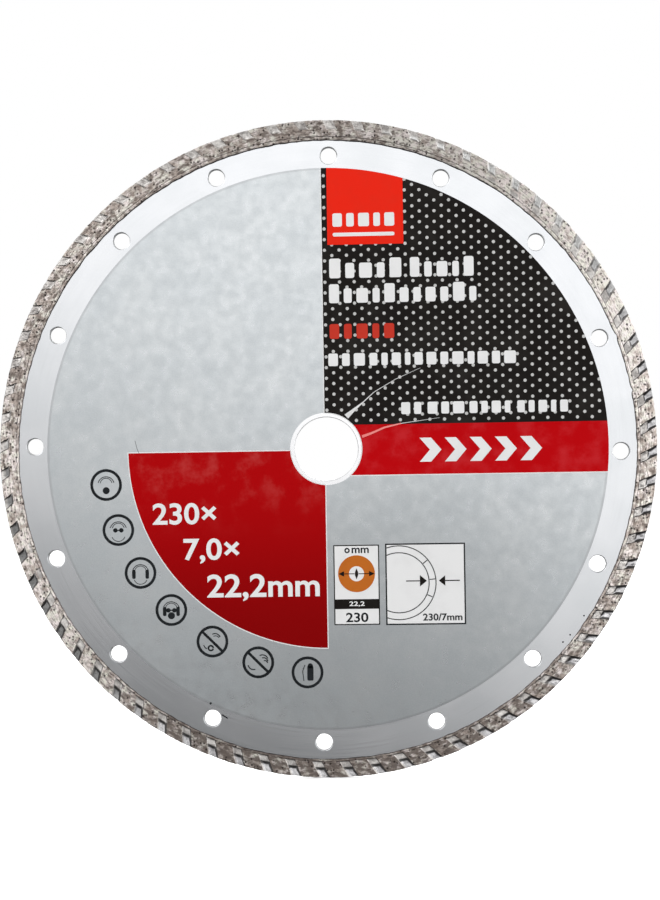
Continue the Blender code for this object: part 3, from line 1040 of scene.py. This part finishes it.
def square_badge():
    """A row of blocks over a plain line on the red square."""
    left, right = 3.4, 25.0
    line = moved(rounded_bar(left, 74.2, right, 75.5, 0.6))
    printed_shape("square_badge", [*blocks([(left, right)], 77.6, 82.3), line], BADGE, "white")


def size_numbers():
    """The blade's diameter, rim height and bore, in millimetres."""
    lines = [  # with the left, bottom, right and top of each
        ("230×", -61.4, -25.8, -38.9, -18.2),
        ("7,0×", -50.7, -39.6, -31.0, -30.7),
        ("22,2mm", -42.6, -52.9, -3.05, -43.4),
    ]
    sheets = [flat_number(text, *(value * MM for value in box)) for text, *box in lines]
    printed("size_numbers", sheets, DRAWING, "white")


SIGN_CIRCLE_RADIUS = 78.5 * MM
SIGN_ANGLES = (188.4, 200.4, 212.8, 225.2, 238.5, 251.4, 264.3)
SIGN_RADIUS = 5.6 * MM
SIGN_LINE = 1.0 * MM


def short_arc(radius, width, start, end, x=0.0, z=0.0):
    return arc_stroke(radius, width, start, end, (x, z), 14)


def sign_figures():
    """A simple figure for each sign, drawn in millimetres about its centre."""
    brow = [short_arc(2.9, 0.3, 15, 165), short_arc(2.1, 0.25, 10, 170, z=0.3)]
    chin = short_arc(2.4, 0.25, 200, 340, z=-1.6)
    cup = rounded_bar(-0.62, -1.6, 0.62, 1.6, 0.5)
    cups = [moved(cup, (side * 2.35, -0.5), 1.0) for side in (-1, 1)]
    eyes = [circle(0.8, (side * 1.05, -0.1), 16) for side in (-1, 1)]
    bridge = rounded_bar(-0.6, -0.3, 0.6, 0.1, 0.1)
    mouth = circle(1.25, (0.0, -2.0), 16)
    bar = ribbon([(-3.35, 3.35), (3.35, -3.35)], [0.95, 0.95])
    return [
        [*brow, mouth],
        [*brow, chin, *eyes, bridge],
        [*brow, chin, *cups],
        [*brow, *cups, *eyes, bridge, mouth],
        [bar, arc_stroke(0.85, 0.6, 0, 345, (-0.6, -2.3), 15), short_arc(1.9, 0.4, 20, 120, 0.9, 0.9),
         short_arc(1.4, 0.3, 30, 120, 1.1, 0.6), short_arc(1.7, 0.35, 190, 250, -1.4, -0.9)],
        [bar, short_arc(2.0, 0.4, 20, 120, 1.5, 0.6), short_arc(1.5, 0.4, 10, 110, 1.9, 0.1),
         short_arc(1.0, 0.4, 10, 110, 2.3, -0.4), short_arc(1.9, 0.4, 190, 290, -1.7, -0.6)],
        [rounded_bar(-0.1, -2.9, 2.1, 2.3, 0.5), circle(0.9, (1.0, 2.3), 16),
         ribbon([(-1.3, -3.0), (-1.7, 0.4), (-0.9, 2.6)], [0.3, 0.3, 0.3])],
    ]


def signs():
    """The row of round signs outside the quarter disc."""
    rings, figures = [], []
    for angle, figure in zip(SIGN_ANGLES, sign_figures()):
        centre = at_angle(SIGN_CIRCLE_RADIUS, angle)
        rings += ring(SIGN_RADIUS, SIGN_RADIUS - SIGN_LINE, centre, 40)
        figures += [flat_shape([moved(outline, centre)]) for outline in figure]
    printed_shape("sign_rings", rings, WHITE_BASE, "line")
    printed("sign_figures", figures, WHITE_BASE, "line")


def panel(name, line, frame_ink, *in_frame_ink):
    """A white panel with a thin frame, and with more sheets in the frame's ink."""
    box = face_box("print_" + name)
    printed_shape(name + "_sheet", [rectangle(*box)], WHITE_BASE, "white", "print_" + name)
    frame_lines = flat_shape([rectangle(*box), rectangle(*box, -line)])
    printed(name + "_frame", [frame_lines, *in_frame_ink], FIELD, frame_ink)


def number_about(text, middle, bottom, half_width, height):
    return flat_number(text, middle - half_width, bottom, middle + half_width, bottom + height)


def bore_panel():
    """The panel that gives the bore: a ring with an arrow across it, over two numbers."""
    left, bottom, right, top = face_box("print_bore_panel")
    middle = (left + right) / 2
    centre = (middle, top - 10.1 * MM)
    line = 0.38 * MM
    strip_top, strip_bottom = top - 19.0 * MM, top - 22.4 * MM
    strip = flat_shape([rectangle(left + line, strip_bottom, right - line, strip_top)])
    panel("bore_panel", line, "black", strip)
    printed_shape("bore_panel_ring", ring(6.45 * MM, 2.65 * MM, centre), FIELD, "orange")
    arrows = [
        moved(arrow((side * 0.7, 0.0), (side * 6.35, 0.0), 0.28, 2.0, 1.9), centre) for side in (-1, 1)
    ]
    star = [(0.55, 0.55), (0.0, 1.9), (-0.55, 0.55), (-0.55, -0.55), (0.0, -1.9), (0.55, -0.55)]
    printed_shape("bore_panel_arrows", [*arrows, moved(star, centre)], PATTERN, "black")
    strip_number = number_about("22,2", middle, strip_bottom + 0.75 * MM, 2.7 * MM, 1.9 * MM)
    printed("bore_panel_strip_number", [strip_number], PATTERN, "white")
    number = number_about("230", middle, bottom + 0.95 * MM, 3.9 * MM, 3.35 * MM)
    sign = flat_shape(ring(0.95 * MM, 0.45 * MM, (middle - 3.2 * MM, top - 1.95 * MM), 20))
    unit = number_about("mm", middle + 1.4 * MM, top - 2.9 * MM, 3.0 * MM, 1.9 * MM)
    printed("bore_panel_number", [number, unit, sign], FIELD, "line")


def rim_panel():
    """The panel that gives the rim: two arcs with an arrow to each side of the rim between them."""
    left, bottom, right, top = face_box("print_rim_panel")
    line, thin = 0.5 * MM, 0.33 * MM
    panel("rim_panel", line, "line")
    centre = (left + 4.7 * MM, (bottom + top) / 2 + 0.5 * MM)
    drawing = []
    for radius in (10.5 * MM, 12.9 * MM):
        reach = math.degrees(math.asin((centre[0] - left - line) / radius))
        drawing.append(arc_stroke(radius, thin, -90.0 - reach, 90.0 + reach, centre))
    for angle in (38.0, 5.5, -23.5):
        ends = [at_angle(radius, angle, centre) for radius in (10.75 * MM, 12.65 * MM)]
        drawing.append(ribbon(ends, [thin, thin]))
    lines = [flat_shape([outline]) for outline in drawing]
    printed("rim_panel_arcs", lines, FIELD, "line")
    level = (left, centre[1] + 0.6 * MM)
    arrows = [
        moved(arrow((7.2, 0.0), (14.4, 0.0), 0.35, 2.4, 4.0), level),
        moved(arrow((25.9, 0.0), (18.6, 0.0), 0.35, 2.2, 3.6), level),
    ]
    printed_shape("rim_panel_arrows", arrows, PATTERN, "black")
    number = flat_number("230/7mm", right - 15.0 * MM, bottom + 1.4 * MM, right - 1.3 * MM,
                         bottom + 3.9 * MM)
    printed("rim_panel_number", [number], PATTERN, "line")


def scuffs():
    """Marks of handling: two bright scratches from the bore, and a few dark nicks."""
    scratches = [
        ("bright_scratch", "scratch",
         [(7.2, 11.2), (9.5, 13.2), (13.1, 16.1), (17.0, 19.6), (24.4, 23.9), (33.3, 27.8)],
         [1.9, 1.1, 0.35, 0.25, 0.2, 0.1]),
        ("pink_scratch", "pink_scratch", [(12.6, 4.1), (16.0, 5.3), (20.5, 7.2), (26.2, 8.5)],
         [0.95, 0.75, 0.6, 0.45]),
        ("faint_scratch", "scratch", [(26.2, 8.5), (33.0, 9.4), (39.7, 10.3)], [0.22, 0.16, 0.1]),
    ]
    for name, ink_name, points, widths in scratches:
        printed_shape(name, [moved(ribbon(points, widths))], BADGE, ink_name)
    dark = [
        ribbon([(-38.2, -92.6), (-36.1, -93.9)], [0.45, 0.45]),
        ribbon([(-67.2, 3.9), (-66.5, 1.0), (-65.7, -0.9)], [0.14, 0.14, 0.14]),
    ]
    dark += [circle(0.3, place, 10) for place in ((88.8, -59.4), (83.9, -66.0), (81.4, -68.5))]
    dark.append(circle(0.4, (-42.0, -88.6), 10))
    nicks = [flat_shape([moved(outline)]) for outline in dark]
    printed("dark_nicks", nicks, WHITE_BASE, "line")


# ---------------- studio

CAMERA_DISTANCE = 600.0 * MM
CAMERA_AZIMUTH = 2.3
CAMERA_ROLL = -0.9
CAMERA_AIM = Vector((1.26 * MM, 0.0, -0.4 * MM))
LENS = 68.5
BAND_UPWARDS = (0.35, 0.0, 0.94)  # the direction in which the surroundings get brighter


def look_at(obj, target, roll=0.0):
    direction = Vector(target) - obj.location
    turn = direction.to_track_quat("-Z", "Y").to_matrix().to_4x4()
    obj.matrix_world = (
        Matrix.Translation(obj.location) @ turn @ Matrix.Rotation(math.radians(roll), 4, "Z")
    )


def add_camera():
    data = bpy.data.cameras.new("camera")
    data.lens = LENS
    data.clip_start = 0.01
    camera = new_object("camera", data)
    azimuth = math.radians(CAMERA_AZIMUTH)
    camera.location = Vector((math.sin(azimuth), -math.cos(azimuth), 0.0)) * CAMERA_DISTANCE
    look_at(camera, CAMERA_AIM, CAMERA_ROLL)
    bpy.context.scene.camera = camera


def add_softbox(name, place, size, watts):
    """A square softbox that faces the middle of the blade."""
    light = bpy.data.lights.new(name, "AREA")
    light.shape = "SQUARE"
    light.size = size
    light.energy = watts
    softbox = new_object(name, light)
    softbox.location = place
    look_at(softbox, (0.0, 0.0, 0.0))


def add_lights():
    add_softbox("key", (-0.80, -0.66, 0.96), 1.1, 5.2)
    add_softbox("right_side", (1.12, -0.36, 0.42), 1.0, 5.6)
    add_softbox("left_side", (-0.95, -0.72, -0.26), 0.9, 3.0)
    add_softbox("back_key", (0.6, 0.9, 1.0), 0.9, 20.0)


def add_world():
    """A white backdrop to the camera. Everything else sees a wide bright band at eye level, dimmer
    above it, and dark below it but for the pale floor's far side, as a long softbox gives."""
    world = bpy.data.worlds.new("studio")
    bpy.context.scene.world = world
    world.use_nodes = True
    tree = world.node_tree
    background = tree.nodes["Background"]
    direction = node(tree, "TexCoord", "Generated")
    height = vector_maths("DOT_PRODUCT", "Value", direction, BAND_UPWARDS)
    band = spread(height, -0.217, 0.03, 0.05, 1.50)
    above = spread(height, 0.24, 0.50, 0.0, -1.0)
    below = spread(height, -0.60, -0.42, 0.5, 0.0)
    underneath = spread(height, -0.92, -0.72, -0.5, 0.0)
    seen = node(tree, "LightPath", "Is Camera Ray")
    feed(background, "Strength", blend_numbers(seen, band + above + (below + underneath), 1.0))
    background.inputs["Color"].default_value = grey(1.0)


def add_floor():
    """A plain pale floor under the blade's edge. It isn't mirrored in the blade."""
    bm = bmesh.new()
    bmesh.ops.create_grid(bm, x_segments=1, y_segments=1, size=6.0)
    mesh = finished_mesh("floor", bm)
    floor = new_object("floor", mesh)
    floor.location.z = -RIM_RADIUS - 0.2 * MM
    floor.visible_glossy = False
    floor.visible_diffuse = False
    material, _, shader = new_material("pale_floor", roughness=0.9, Emission_Strength=0.55)
    shader.inputs["Base Color"].default_value = grey(0.8)
    shader.inputs["Emission Color"].default_value = grey(1.0)
    mesh.materials.append(material)


def main():
    steel_plate(ground_steel())
    bond_shoulder(sintered_metal("joint_metal", at_joint=True))
    diamond_rim(sintered_metal("rim_metal"))
    for print_part in (
        colour_fields, dot_pattern, word_blocks, band_chevrons, square_badge,
        size_numbers, signs, bore_panel, rim_panel, scuffs,
    ):
        print_part()
    add_camera()
    add_lights()
    add_world()
    add_floor()
    bpy.context.scene.view_settings.view_transform = "Standard"


main()
